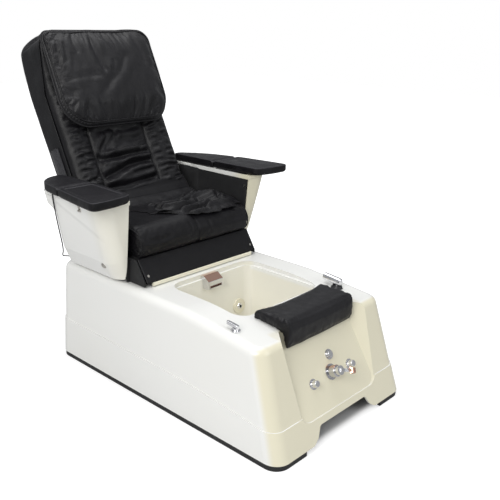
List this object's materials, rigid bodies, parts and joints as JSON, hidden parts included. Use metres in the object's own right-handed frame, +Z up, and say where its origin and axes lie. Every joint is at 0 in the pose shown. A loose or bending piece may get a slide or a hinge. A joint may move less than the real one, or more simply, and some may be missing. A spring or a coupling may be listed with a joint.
{
  "type": "pedicure spa chair",
  "caption": "Pedicure bench: a moulded foot-spa base with basin, jets, mixer and footrest, carrying a sliding, reclining massage chair with lidded armrests and a flip-over head pillow.",
  "frame": {"origin": "on the floor under the middle of the whole chair's box", "axes": "+X to the right seen from the front, -Y to the front (foot end), +Z up"},
  "size_m": [1.0262, 1.5423, 1.3454],
  "materials": {
    "white_moulding": "gloss",
    "cream_trim": "gloss",
    "black_leather": "satin",
    "black_plastic": "matte",
    "black_rubber": "matte",
    "mesh_fabric": "matte",
    "chrome": "polished",
    "painted_steel": "satin",
    "bright_steel": "satin",
    "brass": "satin",
    "grey_pipe": "matte",
    "plywood": "matte"
  },
  "bodies": {
    "base": {"tub_shell": "white_moulding", "plinth_strip": "black_rubber", "toe_board": "black_plastic", "base_frame": "painted_steel", "levelling_feet": "bright_steel", "waterfall_spout": "chrome", "jet_rings": "cream_trim", "jet_motors": "black_plastic", "drain_strainer": "chrome", "waste_pipe": "grey_pipe", "hot_supply_pipe": "brass", "cold_supply_pipe": "brass", "water_hoses": "black_rubber", "service_cover": "white_moulding", "power_inlet": "black_plastic", "mixer_body": "chrome", "knob_seats": "chrome", "air_button_seat": "chrome", "bath_valve_base": "chrome", "shower_holder": "black_plastic", "slide_rails": "bright_steel"},
    "left_nozzle": {"left_jet_nozzle": "chrome"},
    "right_nozzle": {"right_jet_nozzle": "chrome"},
    "mixer_turner": {"mixer_cartridge": "chrome"},
    "mixer_handle": {"mixer_lever": "chrome"},
    "drain_knob": {"drain_knob": "chrome"},
    "diverter_knob": {"diverter_knob": "chrome"},
    "air_button": {"air_button": "chrome"},
    "bath_valve_lever": {"bath_valve_lever": "chrome"},
    "hand_shower": {"hand_shower": "chrome"},
    "footrest": {"footrest_board": "plywood", "footrest_cushion": "black_leather"},
    "chair": {"seat_frame": "painted_steel", "seat_board": "plywood", "seat_cushion": "black_leather", "seat_flap": "black_leather", "front_apron": "black_leather", "apron_strip": "cream_trim", "recline_motor": "painted_steel", "side_panels": "white_moulding", "inner_linings": "black_plastic", "arm_trays": "black_plastic", "arm_pads": "black_leather", "arm_hinge_pins": "chrome", "trim_screws": "chrome", "handset": "black_plastic", "handset_lead": "black_rubber"},
    "left_lid": {"left_arm_lid": "black_leather"},
    "right_lid": {"right_arm_lid": "black_leather"},
    "back": {"back_frame": "painted_steel", "massage_rails": "bright_steel", "massage_motor": "painted_steel", "back_cover": "black_leather", "back_pad": "black_leather", "side_pocket": "mesh_fabric"},
    "massage_screw": {"massage_screw": "bright_steel"},
    "massage_carriage": {"massage_carriage": "black_plastic"},
    "massage_rollers": {"massage_rollers": "black_rubber"},
    "pillow": {"head_pillow": "black_leather"}
  },
  "joints": [
    {"name": "seat_slide", "type": "slide", "parent": "base", "child": "chair", "axis": [0, -1, 0], "range_m": [0, 0.15]},
    {"name": "backrest_recline", "type": "hinge", "parent": "chair", "child": "back", "pos_m": [0, 0.437, 0.56], "axis": [-1, 0, 0], "range_deg": [-6, 28]},
    {"name": "pillow_flip", "type": "hinge", "parent": "back", "child": "pillow", "pos_m": [0, 0.661, 1.336], "axis": [-1, 0, 0], "range_deg": [0, 140]},
    {"name": "left_lid_flip", "type": "hinge", "parent": "chair", "child": "left_lid", "pos_m": [-0.405, 0.253, 0.78], "axis": [-1, 0, 0], "range_deg": [0, 98]},
    {"name": "right_lid_flip", "type": "hinge", "parent": "chair", "child": "right_lid", "pos_m": [0.405, 0.253, 0.78], "axis": [-1, 0, 0], "range_deg": [0, 98]},
    {"name": "footrest_lift", "type": "slide", "parent": "base", "child": "footrest", "axis": [0, 0, 1], "range_m": [0, 0.06]},
    {"name": "massage_carriage_slide", "type": "slide", "parent": "back", "child": "massage_carriage", "axis": [0, 0.454, 0.891], "range_m": [-0.12, 0.14]},
    {"name": "massage_screw_spin", "type": "hinge", "parent": "back", "child": "massage_screw", "pos_m": [0, 0.58211, 0.82276], "axis": [0, 0.454, 0.891], "range_deg": [-1450, 1690]},
    {"name": "massage_roller_spin", "type": "hinge", "parent": "massage_carriage", "child": "massage_rollers", "pos_m": [0, 0.54023, 0.8441], "axis": [1, 0, 0], "continuous": true},
    {"name": "mixer_turn", "type": "hinge", "parent": "base", "child": "mixer_turner", "pos_m": [0, -0.71439, 0.21659], "axis": [0, -0.8844, 0.4668], "range_deg": [-45, 45]},
    {"name": "mixer_lift", "type": "hinge", "parent": "mixer_turner", "child": "mixer_handle", "pos_m": [0, -0.72765, 0.22359], "axis": [-0.342, -0.4386, -0.831], "range_deg": [0, 25]},
    {"name": "drain_knob_turn", "type": "hinge", "parent": "base", "child": "drain_knob", "pos_m": [-0.108, -0.69159, 0.19551], "axis": [0, -0.8844, 0.4668], "range_deg": [0, 90]},
    {"name": "diverter_knob_turn", "type": "hinge", "parent": "base", "child": "diverter_knob", "pos_m": [0.108, -0.69159, 0.19551], "axis": [0, -0.8844, 0.4668], "range_deg": [-90, 90]},
    {"name": "air_button_push", "type": "slide", "parent": "base", "child": "air_button", "axis": [0, 0.8844, -0.4668], "range_m": [0, 0.004], "stiffness_N_per_m": 400, "springref_m": -0.001},
    {"name": "bath_valve_turn", "type": "hinge", "parent": "base", "child": "bath_valve_lever", "pos_m": [-0.307, -0.505, 0.40155], "axis": [0, -0.0957, 0.9954], "range_deg": [0, 90]},
    {"name": "hand_shower_lift", "type": "slide", "parent": "base", "child": "hand_shower", "axis": [0, -0.0957, 0.9954], "range_m": [0, 0.05]},
    {"name": "left_jet_aim", "type": "hinge", "parent": "base", "child": "left_nozzle", "pos_m": [-0.143, -0.09321, 0.236], "axis": [1, 0, 0], "range_deg": [-20, 20]},
    {"name": "right_jet_aim", "type": "hinge", "parent": "base", "child": "right_nozzle", "pos_m": [0.143, -0.09321, 0.236], "axis": [1, 0, 0], "range_deg": [-20, 20]}
  ],
  "couplings": [
    {"joint": "massage_screw_spin", "follows": "massage_carriage_slide", "rad_per_m": 209.44}
  ]
}
